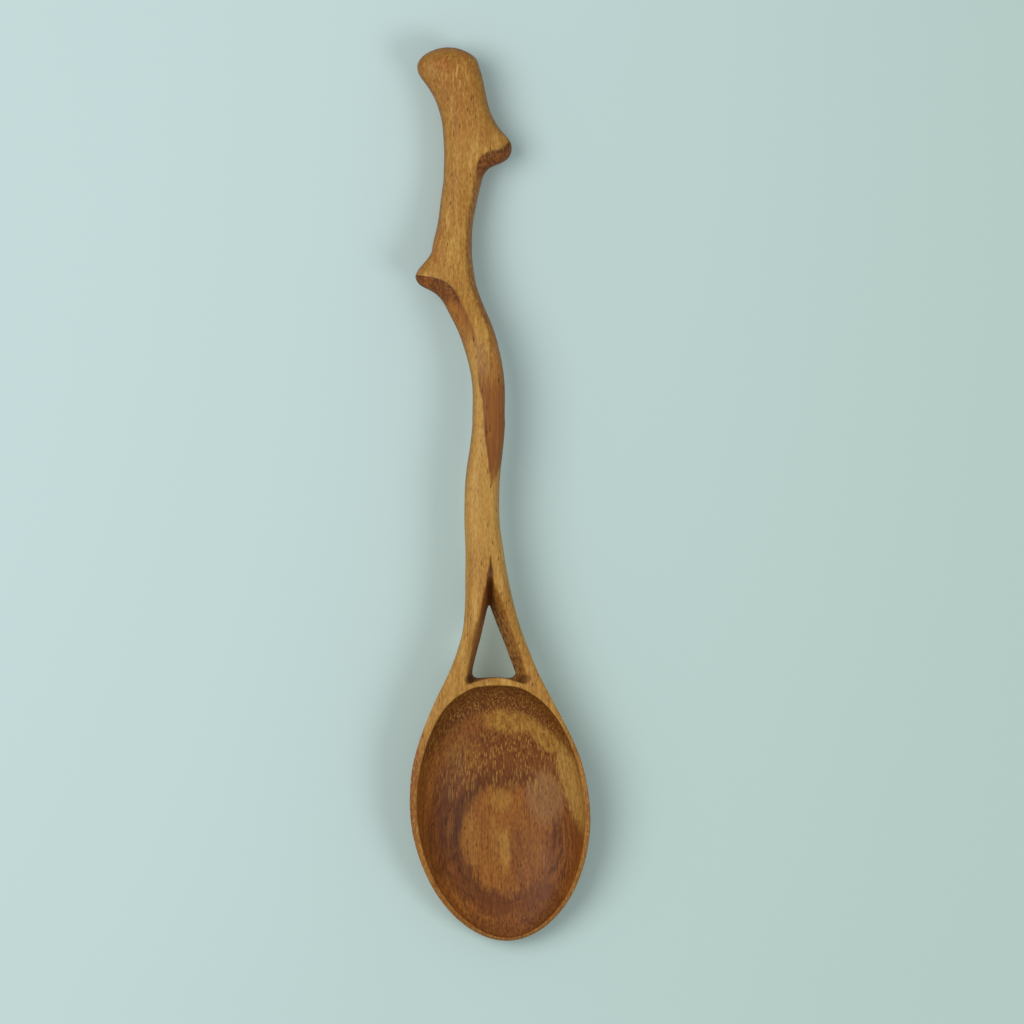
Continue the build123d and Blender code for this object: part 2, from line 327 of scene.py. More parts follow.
# %% Work out the rows of the legs
shoulder_insets = (0.3, 0.45, 0.6, 0.75, 0.85, 0.9, 0.95, 1.0)
leg_middle_share = 0.56
leg_rows = len(leg_side_ys)
leg_sides = ((-1, left_top_edge, left_bottom_edge), (1, right_top_edge, right_bottom_edge))


def leg_row(index, side, edge, crotch):
    """The outer side, shoulder, middle and window edge of a leg's row. Side is -1 on the left."""
    window_edge = crotch if index == leg_rows - 1 else flat(*edge[index])
    outside = jaw(flat(0, leg_side_ys[index]), Vector((side, 0, 0)))
    outside_flat = Vector((outside.x, outside.y, 0))
    inwards = (window_edge - outside_flat).normalized()
    shoulder = outside_flat + inwards * shoulder_insets[index] * mm
    middle = share_of_way(outside_flat, window_edge, leg_middle_share)
    return outside, shoulder, middle, window_edge


top_rows = {}
bottom_rows = {}
for side, top_edge, bottom_edge in leg_sides:
    for index in range(leg_rows):
        top_rows[side, index] = leg_row(index, side, top_edge, crotch_top)
        bottom_rows[side, index] = leg_row(index, side, bottom_edge, crotch_bottom)
print("rows on each leg:", leg_rows)

# %% Extrude the legs
right_leg_spokes = (5, 7)
left_leg_spokes = (11, 13)
merge_distance = 0.01 * mm


def on_outline_between(first, last):
    """True for the edges of the bowl's outline between two spokes."""
    def wanted(edge):
        places = [egg_place(corner.co) for corner in edge.verts]
        lowest, highest = first * spoke_degrees - 1, last * spoke_degrees + 1
        return all(share > 1 - share_slack and lowest < turn < highest for share, turn in places)
    return wanted


def extrude_row(corners):
    """Extrude the selected edges, and lay the new corners out from left to right."""
    bpy.ops.mesh.extrude_region_move(TRANSFORM_OT_translate={"value": (0, 1 * mm, 0)})
    new = sorted((vertex for vertex in edit_mesh().verts if vertex.select), key=lambda vertex: vertex.co.x)
    for vertex, place in zip(new, corners):
        vertex.co = (place.x, place.y, 0)
    bmesh.update_edit_mesh(spoon.data)


plan_of = []
for side, leg_spokes in ((-1, left_leg_spokes), (1, right_leg_spokes)):
    select_edges(on_outline_between(*leg_spokes))
    for index in range(1, leg_rows):
        outside, shoulder, middle, window_edge = top_rows[side, index]
        corners = [shoulder, middle, window_edge][::-side]
        extrude_row(corners)
        for column, corner in zip(("shoulder", "middle", "window"), (shoulder, middle, window_edge)):
            plan_of.append((corner, ("leg", side, index, column)))
bpy.ops.mesh.select_mode(type="VERT")
bpy.ops.mesh.select_all(action="SELECT")
bpy.ops.mesh.remove_doubles(threshold=merge_distance)
print("corners after the legs meet:", len(edit_mesh().verts))

# %% [markdown]
# The two stubs are what is left of side twigs, cut off and sanded round. Each is steep on the side towards
# the bowl and runs out gently towards the knob. On the steep side there is a crisp border between the golden
# top and a dark flank, so the row's shoulder is laid on that border, as measured in the photograph.

# %% Work out the rows of the shaft
plain_rows = [
    57.2, 61.0, 65.4, 70.2, 75.2, 80.2, 85.2, 90.2, 95.2, 100.0, 104.6, 108.8, 112.3,
    125.8, 128.4, 131.8, 135.4, 139.0, 155.0, 157.4, 159.9, 162.4, 164.8, 167.0,
]
# Stub rows: where the row meets the plain side, the border, and a point outside that it looks towards.
lower_stub_rows = [
    (115.0, (-11.0, 115.5), (-13.6, 115.3)),
    (116.4, (-11.4, 117.4), (-15.0, 116.9)),
    (117.7, (-12.2, 118.9), (-16.7, 117.7)),
    (118.9, (-13.5, 120.1), (-18.0, 118.4)),
    (120.0, (-15.2, 121.0), (-18.85, 119.6)),
    (121.2, (-16.8, 121.5), (-19.05, 120.9)),
    (122.5, (-17.2, 122.3), (-18.4, 122.2)),
    (124.0, (-16.2, 124.0), (-17.0, 123.8)),
]
upper_stub_rows = [
    (142.4, (-5.5, 142.6), (-4.0, 142.6)),
    (144.2, (-5.0, 145.4), (-2.7, 144.5)),
    (145.7, (-4.2, 147.4), (-1.2, 145.25)),
    (147.0, (-2.7, 148.5), (0.3, 145.9)),
    (148.1, (-0.9, 148.95), (1.5, 146.9)),
    (149.1, (0.6, 149.5), (2.35, 148.2)),
    (150.1, (1.4, 150.5), (2.72, 149.8)),
    (151.4, (0.95, 151.8), (2.2, 151.6)),
    (153.0, (-0.45, 153.2), (0.9, 153.1)),
]
column_shares = (-0.8, -0.42, 0.0, 0.42, 0.8)


def shaft_row(y, border=None, beyond=None, border_side=0):
    """Both sides of the shaft at y, and the five corners across its top."""
    left = jaw(flat(0, y), Vector((-1, 0, 0)))
    right = jaw(flat(0, y), Vector((1, 0, 0)))
    middle, half = (left + right) / 2, (right.x - left.x) / 2
    corners = [Vector((middle.x + share * half, y * mm, 0)) for share in column_shares]
    if border:
        edge = flat(*border)
        touch = jaw(edge, flat(*beyond) - edge)
        fixed = corners[0] if border_side > 0 else corners[-1]
        corners = [share_of_way(fixed, edge, step / 4) for step in range(5)][::border_side]
        left, right = (left, touch) if border_side > 0 else (touch, right)
    return left, right, corners


shaft_rows = [shaft_row(y) for y in plain_rows]
shaft_rows += [shaft_row(y, border, beyond, -1) for y, border, beyond in lower_stub_rows]
shaft_rows += [shaft_row(y, border, beyond, 1) for y, border, beyond in upper_stub_rows]
shaft_rows.sort(key=lambda row: row[2][2].y)
print("rows on the shaft:", len(shaft_rows))

# %% Extrude the shaft
def across_the_crotch(edge):
    return all(abs(corner.co.y - crotch_top.y) < 0.05 * mm for corner in edge.verts)


bpy.ops.mesh.select_mode(type="EDGE")
select_edges(across_the_crotch)
for index, (left, right, corners) in enumerate(shaft_rows):
    extrude_row(corners)
    plan_of += [(corner, ("shaft", index, column)) for column, corner in enumerate(corners)]

# The last row fans round the knob's end.
knob_middle = flat(-11.6, 167.0)
knob_turns = (150, 120, 90, 60, 30)
knob_share = 0.74
end_touches = []
for turn in knob_turns:
    way = Vector((math.cos(math.radians(turn)), math.sin(math.radians(turn)), 0))
    end_touches.append(jaw(knob_middle, way))
end_corners = [share_of_way(knob_middle, Vector((touch.x, touch.y, 0)), knob_share) for touch in end_touches]
extrude_row(end_corners)
plan_of += [(corner, ("end", column)) for column, corner in enumerate(end_corners)]
print("corners in the whole plan:", len(edit_mesh().verts))

# %% [markdown]
# ## From plan to board
#
# Extruding the plan downwards twice gives a closed slab with a top, a line half way down its sides, and an
# underside. Each corner of it knows its place in the plan, which is looked up by its x and y.

# %% Give the plan the board's thickness
board_step = 5 * mm
ring_slack = 0.004
plan_slack = 0.02 * mm
for vertex in edit_mesh().verts:
    share, turn = egg_place(vertex.co)
    if share > 1 + share_slack:
        continue
    nearest_ring = min(range(len(ring_shares)), key=lambda ring: abs(ring_shares[ring] - share))
    if abs(ring_shares[nearest_ring] - share) < ring_slack:
        plan_of.append((vertex.co.copy(), ("ring", nearest_ring, round(turn / spoke_degrees) % spokes)))
    else:
        plan_of.append((vertex.co.copy(), ("floor", share, turn)))
finder = KDTree(len(plan_of))
for number, (place, role) in enumerate(plan_of):
    finder.insert((place.x, place.y, 0), number)
finder.balance()

bpy.ops.mesh.select_mode(type="FACE")
bpy.ops.mesh.select_all(action="SELECT")
for layer in range(2):
    bpy.ops.mesh.extrude_region_move(TRANSFORM_OT_translate={"value": (0, 0, -board_step)})
bpy.ops.mesh.select_all(action="SELECT")
bpy.ops.mesh.normals_make_consistent(inside=False)
bpy.ops.object.mode_set(mode="OBJECT")

roles = []
for vertex in spoon.data.vertices:
    place, number, distance = finder.find((vertex.co.x, vertex.co.y, 0))
    layer = ("top", "side", "under")[round(-vertex.co.z / board_step)]
    roles.append((*plan_of[number][1], layer))
    if distance > plan_slack:
        raise RuntimeError(f"a corner has no place in the plan: {vertex.co}")
print("corners on the board:", len(roles), "faces:", len(spoon.data.polygons))

# %% [markdown]
# ## Carving
#
# Now each corner gets its real place. The top and the underside take their heights from the gauge, and the
# sides are laid on the widest line. The rim's inside edge is found by walking inwards until the wood falls
# away steeply.

# %% Find the rim's inside edge along each spoke
stride_length = 0.05 * mm
steep_drop = 0.05 * mm
most_strides = 120
foot_spokes = range(right_leg_spokes[1], left_leg_spokes[0] + 1)
# The spoke at the root of each leg, with the spokes beside it at the window's corner and on the free rim.
leg_roots = ((6, 7, 5), (12, 11, 13))
leg_root_share = 0.5


def spoke_way(spoke):
    turn = math.radians(spoke * spoke_degrees)
    return Vector((bowl_half_width * math.cos(turn), bowl_front_length * math.sin(turn), 0))


def find_lip(start):
    """Walk from start towards the bowl's middle, to the edge where the hollow's wall begins."""
    stride = (bowl_middle - start).normalized() * stride_length
    here = start + stride * 3
    for step in range(most_strides):
        drop = gauge(here, bowl_middle, True) - gauge(here + stride, bowl_middle, True)
        if drop > steep_drop:
            return here
        here = here + stride
    raise RuntimeError(f"no lip found from {start}")


rim_outsides, rim_starts, hull_starts = {}, {}, {}
for spoke in range(spokes):
    if spoke <= right_leg_spokes[0] or spoke >= left_leg_spokes[1]:
        outside = jaw(bowl_middle, spoke_way(spoke))
        start = Vector((outside.x, outside.y, 0))
        rim_outsides[spoke], rim_starts[spoke], hull_starts[spoke] = outside, start, start
for spoke, top, bottom in zip(foot_spokes, foot_top_edge, foot_bottom_edge):
    rim_starts[spoke], hull_starts[spoke] = flat(*top), flat(*bottom)
for spoke, corner, side in leg_roots:
    rim_starts[spoke] = share_of_way(rim_starts[corner], rim_starts[side], leg_root_share)
    hull_starts[spoke] = share_of_way(hull_starts[corner], hull_starts[side], leg_root_share)
lips = {spoke: find_lip(start) for spoke, start in rim_starts.items()}
rim_widths = [(rim_starts[spoke] - lips[spoke]).length / mm for spoke in range(spokes)]
print("rim: from", round(min(rim_widths), 2), "to", round(max(rim_widths), 2), "mm wide")

# %% Carve the bowl
rim_rounding = 0.3 * mm
lip_wall = 0.45 * mm
probe_inset = 0.05 * mm
hollow_shares = (0.09, 0.19, 0.33, 0.50)
hull_shares = (0.0, 0.05, 0.11, 0.20, 0.31, 0.43, 0.56)


def carve_ring(ring, spoke, layer):
    """The place of a corner on one of the bowl's rings."""
    start, lip, hull = rim_starts[spoke], lips[spoke], hull_starts[spoke]
    inwards = (bowl_middle - start).normalized()
    if layer == "side":
        if spoke in rim_outsides:
            return rim_outsides[spoke]
        top, bottom = carve_ring(ring, spoke, "top"), carve_ring(ring, spoke, "under")
        return (top + bottom) / 2
    if layer == "under":
        place = share_of_way(hull, bowl_middle, hull_shares[ring])
        if ring == 0 and spoke in rim_outsides:
            place = place + inwards * rim_rounding
        return Vector((place.x, place.y, gauge(place, bowl_middle, False)))
    if ring == 0:
        place = start + inwards * (rim_rounding if spoke in rim_outsides else 0)
        return Vector((place.x, place.y, gauge(place + inwards * probe_inset, bowl_middle, True)))
    if ring == 1:
        return Vector((lip.x, lip.y, gauge(lip - inwards * probe_inset, bowl_middle, True)))
    if ring == 2:
        place = lip + inwards * lip_wall
    else:
        place = share_of_way(lip, bowl_middle, hollow_shares[ring - 3])
    return Vector((place.x, place.y, gauge(place, bowl_middle, True)))


def carve_floor(share, turn, layer):
    """The place of a corner inside the last ring, between the two spokes on its sides."""
    before = int(turn // spoke_degrees) % spokes
    after = (before + 1) % spokes
    rings = [carve_ring(len(ring_shares) - 1, spoke, layer) for spoke in (before, after)]
    edge = share_of_way(*rings, turn % spoke_degrees / spoke_degrees)
    place = share_of_way(bowl_middle, Vector((edge.x, edge.y, 0)), share / ring_shares[-1])
    return Vector((place.x, place.y, gauge(place, bowl_middle, layer == "top")))


print("deepest place of the hollow:", round(carve_floor(0.0, 0.0, "top").z / mm, 2), "mm above the table")

# %% Carve the legs
window_probe_share = 0.06


def carve_leg(side, index, column, layer):
    """The place of a corner of a leg's row."""
    top_outside, top_shoulder, top_middle, top_edge = top_rows[side, index]
    outside, shoulder, middle, edge = bottom_rows[side, index]
    if layer == "side":
        if column == "shoulder":
            return top_outside
        top, bottom = carve_leg(side, index, column, "top"), carve_leg(side, index, column, "under")
        return (top + bottom) / 2
    if layer == "top":
        shoulder, middle, edge = top_shoulder, top_middle, top_edge
    place = {"shoulder": shoulder, "middle": middle, "window": edge}[column]
    probe = share_of_way(place, middle, window_probe_share) if column == "window" else place
    return Vector((place.x, place.y, gauge(probe, middle, layer == "top")))


# %% Carve the shaft and the knob
# Underneath, the middle of the first rows lies nearer to the bowl, because the window's wall slopes.
underside_lags = {0: (0.0, 2.0, 5.0, 2.0, 0.0), 1: (0.0, 1.0, 2.6, 1.0, 0.0), 2: (0.0, 0.3, 0.8, 0.3, 0.0)}


def carve_shaft(index, column, layer):
    """The place of a corner of a shaft row."""
    left, right, corners = shaft_rows[index]
    if layer == "side":
        return left if column == 0 else right
    place = corners[column]
    middle = corners[2]
    if layer == "under":
        half = (right - left) / 2
        place = (left + right) / 2 + half * column_shares[column]
        place = Vector((place.x, place.y - underside_lags.get(index, [0] * 5)[column] * mm, 0))
    return Vector((place.x, place.y, gauge(place, middle, layer == "top")))


def carve_end(column, layer):
    """The place of a corner of the row that fans round the knob's end."""
    if layer == "side":
        return end_touches[column]
    place = end_corners[column]
    return Vector((place.x, place.y, gauge(place, knob_middle, layer == "top")))


carvers = {"ring": carve_ring, "floor": carve_floor, "leg": carve_leg, "shaft": carve_shaft, "end": carve_end}
targets = [carvers[role[0]](*role[1:]) for role in roles]
for vertex, target in zip(spoon.data.vertices, targets):
    vertex.co = target
print("carved corners:", len(targets))

# %% [markdown]
# ## Sharp and soft edges
#
# A subdivision surface is soft all over. The real spoon has some edges that sandpaper only just touched: the
# inside of the rim, the window's edges and the borders of the stubs' flanks. An edge crease keeps them tight.

# %% Crease the edges
lip_crease, window_crease, border_crease = 0.6, 0.6, 0.12
lower_border_ys = (115.5, 122)
upper_border_ys = (144, 150.5)


def is_lip(role):
    return role[0] == "ring" and role[1] == 1 and role[-1] == "top"


def is_window(role):
    on_leg = role[0] == "leg" and role[3] == "window" and role[-1] != "side"
    on_foot = role[0] == "ring" and role[1] == 0 and role[2] in foot_spokes and role[-1] != "side"
    return on_leg or on_foot


def is_border(role):
    if role[0] != "shaft" or role[-1] != "top":
        return False
    y = shaft_rows[role[1]][2][2].y / mm
    on_lower = role[2] == 0 and lower_border_ys[0] < y < lower_border_ys[1]
    on_upper = role[2] == 4 and upper_border_ys[0] < y < upper_border_ys[1]
    return on_lower or on_upper


def crease(belongs, amount):
    """Give every edge between two corners of one kind a crease."""
    bpy.ops.object.mode_set(mode="EDIT")
    bpy.ops.mesh.select_mode(type="EDGE")
    select_edges(lambda edge: all(belongs(roles[corner.index]) for corner in edge.verts))
    count = sum(edge.select for edge in edit_mesh().edges)
    bpy.ops.transform.edge_crease(value=amount)
    bpy.ops.object.mode_set(mode="OBJECT")
    return count


creased = [crease(is_lip, lip_crease), crease(is_window, window_crease), crease(is_border, border_crease)]
print("creased edges on the lip, the window and the flanks:", creased)

# %% Mark the places that have a colour of their own
def hollow_mark(role):
    """1 inside the bowl, from just inside the rim's edge."""
    in_ring = role[0] == "ring" and role[1] >= 2
    return 1.0 if role[-1] == "top" and (in_ring or role[0] == "floor") else 0.0


def wall_mark(role):
    """How far down a wall of the window a corner is: 0 at its top edge, 1 at the bottom edge."""
    if not is_window((*role[:-1], "top")):
        return 0.0
    return {"top": 0.0, "side": 0.6, "under": 1.0}[role[-1]]


for name, mark in (("hollow", hollow_mark), ("window_wall", wall_mark)):
    layer = spoon.data.attributes.new(name, "FLOAT", "POINT")
    for number, role in enumerate(roles):
        layer.data[number].value = mark(role)
    print(name, sum(point.value > 0 for point in layer.data), "corners")

# %% [markdown]
# ## The skin
#
# A subdivision surface is drawn inside its cage, so a cage that lies on the callipers' points gives a spoon
# that is too thin. Moving each corner by what its point on the surface lacks, and then once more, brings the
# surface to the points. Many rounds would fold the cage over itself at the corners of the grid in the floor.
# On the handle, where the rows are far apart, what still stands off is pressed on to the CAD model's skin.
# A last light rub with the Smooth modifier takes off what stays too crisp for sanded wood, and nothing is
# left below the table.

# %% Fit the cage and subdivide
fitting_rounds = 2
allowed_gap = 0.06 * mm
handle_start = 60 * mm
subdivisions = 3
rub_strength = 0.5
rub_rounds = 4
surface = spoon.modifiers.new("sanded", "SUBSURF")
surface.levels = surface.render_levels = subdivisions
for fitting in range(fitting_rounds):
    rounded = spoon.evaluated_get(bpy.context.evaluated_depsgraph_get()).data
    misses = [target - rounded.vertices[number].co for number, target in enumerate(targets)]
    for vertex, miss in zip(spoon.data.vertices, misses):
        vertex.co = vertex.co + miss
    spoon.data.update()
print("largest miss at the last fitting:", round(max(miss.length for miss in misses) / mm, 3), "mm")
bpy.ops.object.select_all(action="DESELECT")
spoon.select_set(True)
bpy.context.view_layer.objects.active = spoon
bpy.ops.object.modifier_apply(modifier=surface.name)

pressed = 0
for vertex in spoon.data.vertices:
    nearest, normal, face, gap = skin.find_nearest(vertex.co)
    if gap > allowed_gap and vertex.co.y > handle_start:
        vertex.co = share_of_way(nearest, vertex.co, allowed_gap / gap)
        pressed += 1
last_rub = spoon.modifiers.new("last_rub", "SMOOTH")
last_rub.factor, last_rub.iterations = rub_strength, rub_rounds
bpy.ops.object.modifier_apply(modifier=last_rub.name)
for vertex in spoon.data.vertices:
    vertex.co.z = max(vertex.co.z, 0)
bpy.ops.object.shade_smooth()
print("points pressed on to the skin:", pressed)
gaps = [skin.find_nearest(vertex.co)[3] / mm for vertex in spoon.data.vertices]
print("faces:", len(spoon.data.polygons), "mean gap to the CAD:", round(sum(gaps) / len(gaps), 3), "mm")

# %% [markdown]
# The material paints shade on the sides of the handle, which turn away from the light more than its top, and
# the right side of the shaft is partly browner wood as well. So the mesh keeps two more numbers for each
# point, from -1 to 1: how far it faces to the right and how far it faces upwards. The material reads them as
# it reads the hollow and the window's walls.

# %% Mark which way the wood faces
for name, part in (("rightwards", 0), ("upwards", 2)):
    layer = spoon.data.attributes.new(name, "FLOAT", "POINT")
    for vertex in spoon.data.vertices:
        layer.data[vertex.index].value = vertex.normal[part]
    print(name, "down to", round(min(point.value for point in layer.data), 2))

# %% [markdown]
# ## A way to write down a finish
#
# A material is a net of small nodes. Wiring hundreds of them by hand is slow to read, so here a socket is
# wrapped in a small class that knows arithmetic: writing `1 - mask` adds the Math node that works it out. All
# other nodes come from one method, which takes the node's kind, its settings and what goes into its sockets.

# %% Define the wrapped socket
class Wire:
    """A node's output that can be calculated with."""

    def __init__(self, finish, socket):
        self.finish = finish
        self.socket = socket

    def join(self, operation, first, second=0.0):
        return self.finish.node("ShaderNodeMath", {"operation": operation}, {0: first, 1: second})

    def __add__(self, other):
        return self.join("ADD", self, other)

    def __sub__(self, other):
        return self.join("SUBTRACT", self, other)

    def __rsub__(self, other):
        return self.join("SUBTRACT", other, self)

    def __mul__(self, other):
        return self.join("MULTIPLY", self, other)

    def __truediv__(self, other):
        return self.join("DIVIDE", self, other)

    def __neg__(self):
        return self.join("MULTIPLY", self, -1.0)

    def __pow__(self, power):
        return self.join("POWER", self, power)

    __radd__ = __add__
    __rmul__ = __mul__


print("sums that a wire knows: + - * / and powers")


# %% Define a finish
class Finish:
    """A material with one glossy shader, whose colours are built up from wires."""

    def __init__(self, name):
        self.material = bpy.data.materials.new(name)
        self.material.use_nodes = True
        self.tree = self.material.node_tree
        self.shader = self.tree.nodes["Principled BSDF"]

    def node(self, kind, settings=None, inputs=None, output=0):
        """A new node: its settings are set first, then its sockets are filled or linked."""
        new = self.tree.nodes.new(kind)
        for name, value in (settings or {}).items():
            if name == "stops":
                self.set_stops(new.color_ramp, value)
            else:
                setattr(new, name, value)
        for name, value in (inputs or {}).items():
            self.fill(new.inputs[name], value)
        return Wire(self, new.outputs[output])

    def set_stops(self, ramp, stops):
        """Give a ramp its stops, as (place, shade) pairs."""
        while len(ramp.elements) < len(stops):
            ramp.elements.new(0.5)
        for element, (place, shade) in zip(ramp.elements, stops):
            element.position = place
            element.color = (shade, shade, shade, 1)

    def fill(self, socket, value):
        if isinstance(value, Wire):
            self.tree.links.new(value.socket, socket)
        else:
            socket.default_value = value

    def rise(self, wire, start, end):
        """0 before start and 1 after end, with a soft step between. It falls if end is less than start."""
        settings = {"interpolation_type": "SMOOTHSTEP"}
        return self.node("ShaderNodeMapRange", settings, {0: wire, 1: start, 2: end})

    def mix(self, share, first, second):
        """The first colour where share is 0, the second where it is 1."""
        return self.node("ShaderNodeMix", {"data_type": "RGBA"}, {0: share, 6: first, 7: second}, 2)

    def vector(self, x, y, z):
        return self.node("ShaderNodeCombineXYZ", None, {0: x, 1: y, 2: z})

    def split(self, wire):
        """The three parts of a vector."""
        parts = self.node("ShaderNodeSeparateXYZ", None, {0: wire}).socket.node.outputs
        return [Wire(self, part) for part in parts]

    def cloud(self, place, detail=2.0):
        """Noise from 0 to 1 with lumps about one unit of the place apart."""
        return self.node("ShaderNodeTexNoise", None, {"Vector": place, "Scale": 1.0, "Detail": detail})

    def attribute(self, name):
        return self.node("ShaderNodeAttribute", {"attribute_name": name}, None, "Fac")


def from_screen(red, green, blue):
    """A colour as a screen shows it, from 0 to 255, turned into the linear light that shaders work with."""
    linear = []
    for part in (red / 255, green / 255, blue / 255):
        linear.append(part / 12.92 if part <= 0.04045 else ((part + 0.055) / 1.055) ** 2.4)
    return (*linear, 1)


print("a mid grey in linear light:", round(from_screen(128, 128, 128)[0], 3))

# %% [markdown]
# ## Oiled wood
#
# The wood is a warm gold with browner growth layers, and oil has made it satin. Its vessels are thin tubes
# that all run along the handle. Where the surface runs along them they show as short dashes, and where it
# cuts across them they show as dots, and such end grain also drinks more oil and turns dark. Solid textures
# in the spoon's own coordinates behave the same way: a pattern of long cells that run along the handle gives
# dashes on the shaft and dots on the bowl's back wall, with nothing to line up.
#
# Everything is built up in thin coats, from the plainest to the rarest. A coat is a mask, which says where,
# and a colour, which says what. Masks are made of noise that is drawn out along the handle, so that each
# border frays along the fibres, as it does in wood.

# %% Choose the colours
pale_gold = from_screen(202, 158, 84)
gold = from_screen(186, 138, 62)
honey = from_screen(160, 108, 42)
deep_gold = from_screen(156, 103, 36)
core_gold = from_screen(152, 93, 30)
amber = from_screen(158, 94, 36)
chestnut = from_screen(130, 74, 30)
red_brown = from_screen(118, 61, 22)
dark_brown = from_screen(84, 42, 15)
pore_brown = from_screen(58, 30, 14)
# Grey-brown for a patch on the shaft, and for the painted sheen in the hollow.
sheen_and_ash_brown = from_screen(154, 107, 64)
print("colours of the wood: 11")

# %% Lay the wood's own coordinates
wood = Finish("oiled_wood")
mix, rise, cloud, vector = wood.mix, wood.rise, wood.cloud, wood.vector
place = wood.node("ShaderNodeTexCoord", None, None, "Object")
x, y, z = wood.split(wood.node("ShaderNodeVectorMath", {"operation": "SCALE"}, {0: place, "Scale": 1 / mm}))


def grain(across, along, detail=3.0):
    """Noise drawn out along the handle: the numbers say how many lumps go in a millimetre each way."""
    return cloud(vector(x * across, y * along, z * across), detail)


drift = grain(0.11, 0.035, 2.0) - 0.5
wobble = grain(0.55, 0.13) - 0.5
ragged = grain(2.6, 0.45) - 0.5
print("coordinates in millimetres")

# %% Grow the layers and the fibres
layer_height = z + x * 0.16 + y * 0.015 + drift * 7 + wobble * 1.6
layer_wave = wood.node("ShaderNodeMath", {"operation": "SINE"}, {0: layer_height * 1.7})
streak = rise(grain(0.9, 0.045), 0.36, 0.64)
fibre = rise(grain(5.5, 0.22, 2.0), 0.3, 0.7)
grain_share = streak * 0.55 + fibre * 0.25 + (layer_wave * 0.5 + 0.5) * 0.2
colour = mix(grain_share, honey, gold)
colour = mix(rise(grain_share, 0.66, 0.95) * 0.7, colour, pale_gold)
print("layers, streaks and fibres")

# %% Cut the vessels
def cells(place, flat_cells=False):
    """A cell pattern: the distance to the nearest cell's middle, and a number of its own for each cell."""
    settings = {"voronoi_dimensions": "2D" if flat_cells else "3D"}
    pattern = wood.node("ShaderNodeTexVoronoi", settings, {"Vector": place, "Scale": 1.0})
    tint = Wire(wood, pattern.socket.node.outputs["Color"])
    return pattern, wood.split(tint)[0]


vessel, vessel_tint = cells(vector(x * 2.1 + wobble * 1.6, z * 2.6 + drift * 5 + ragged * 1.8, 0.0), True)
# Pale halos round the vessels, which in the hollow's end grain also stand in for painted glints.
halo_and_glint = rise(vessel, 0.44, 0.2) * rise(vessel_tint, 0.0, 0.8)
pore, pore_tint = cells(vector(x * 1.6 + 7.3, y * 0.3 + ragged * 0.1, z * 1.6))
pore_patch = rise(grain(0.3, 0.09, 2.0), 0.34, 0.5)
pore = rise(pore, 0.24, 0.1) * rise(pore_tint, 0.1, 0.7) * pore_patch
dark_line = rise(grain(2.6, 0.1), 0.5, 0.66)
grit = cloud(vector(x * 3.0, y * 0.9, z * 3.0 + 5), 3.0)
dark_grit, light_grit = rise(grit, 0.51, 0.64), rise(grit, 0.49, 0.36)
print("vessels: light halos, dark pores and dark lines")

# %% Deepen the colour towards the bowl and the knob
deepening = rise(y, 27, 10) * 0.82 + rise(y, 146, 166) * 0.6
colour = mix(deepening, colour, mix(grain_share, chestnut, deep_gold))
colour = mix(dark_line * 0.3, colour, chestnut)
rim_part = rise(y + wobble * 6, 22, 12)
colour = mix(rim_part * rise(ragged + wobble, -0.15, 0.3) * 0.7, colour, amber)
colour = mix(rim_part * dark_line * 0.4, colour, red_brown)
colour = mix(rim_part * rise(y, -14, -24) * 0.5, colour, chestnut)
colour = mix(rim_part * rise(x, -17.5, -19.5) * 0.6, colour, chestnut)
print("deeper at both ends")

# %% [markdown]
# ## Marks with a place of their own
#
# A few marks sit where the photograph has them: a brown streak on the shaft, the dark flanks of the stubs and
# the nested ovals in the hollow. Painting them by hand would need a picture, so they are drawn with four soft
# shapes instead, in millimetres on the plan: a line, a band between two limits, an oval and a spot. The line
# is a colour ramp that is read along the handle, because a ramp can follow any outline that has few points.

# %% Define soft marks
def line_across(points, along, across):
    """How far across is beyond a drawn line, in millimetres. The points are (along, across) pairs."""
    first, last = points[0][0], points[-1][0]
    low = min(point[1] for point in points)
    span = max(point[1] for point in points) - low
    stops = [((point[0] - first) / (last - first), (point[1] - low) / span) for point in points]
    ramp = wood.node("ShaderNodeValToRGB", {"stops": stops}, {0: (along - first) / (last - first)})
    return across - (ramp * span + low)


def between(wire, low, high, soft=1.0):
    """1 where the wire is between low and high, with soft ends."""
    return rise(wire, low - soft, low + soft) * rise(wire, high + soft, high - soft)


def oval(middle, half_size, turn=0.0):
    """Distance from a middle in half sizes: 1 on the oval, less inside. Turn is in degrees."""
    across, along = x - middle[0], y - middle[1]
    turned_cos, turned_sin = math.cos(math.radians(turn)), math.sin(math.radians(turn))
    first = (across * turned_cos + along * turned_sin) / half_size[0]
    second = (along * turned_cos - across * turned_sin) / half_size[1]
    return (first * first + second * second) ** 0.5


def spot(middle, half_size, turn=0.0, rough=0.6):
    """A soft oval patch with an edge that the fibres fray."""
    return rise(oval(middle, half_size, turn) + ragged * rough + wobble * 0.4, 1.15, 0.65)


print("marks: lines, bands, ovals and spots")

# %% Tint the handle
colour = mix(between(y, 58, 106, 10) * 0.4, colour, pale_gold)
brown_line = [
    (73.5, -1.9), (77.3, -2.4), (80.7, -2.9), (84.6, -3.4), (88.5, -3.8), (92.4, -4.0), (98.9, -5.0),
]
right_of_line = line_across(brown_line, y, x) + wobble * 1.4 + ragged * 0.35
streak_end = line_across([(73.5, -1.6), (78.4, 0.2), (83.0, 2.4), (99.0, 3.0)], y, x) + ragged * 1.2
brown_streak = rise(right_of_line, -0.25, 0.35) * rise(streak_end, 0.3, -0.4)
brown_streak = brown_streak * rise(y + ragged * 9, 72, 77) * rise(y + ragged * 9, 106, 94)
dark_border = between(right_of_line, 0.0, 0.6, 0.35) * between(y + ragged * 6, 76, 101, 2)
dark_border = dark_border * (dark_line * 0.7 + 0.3)
streak_tint = mix(rise(grain(2.2, 0.1), 0.38, 0.66), chestnut, amber)
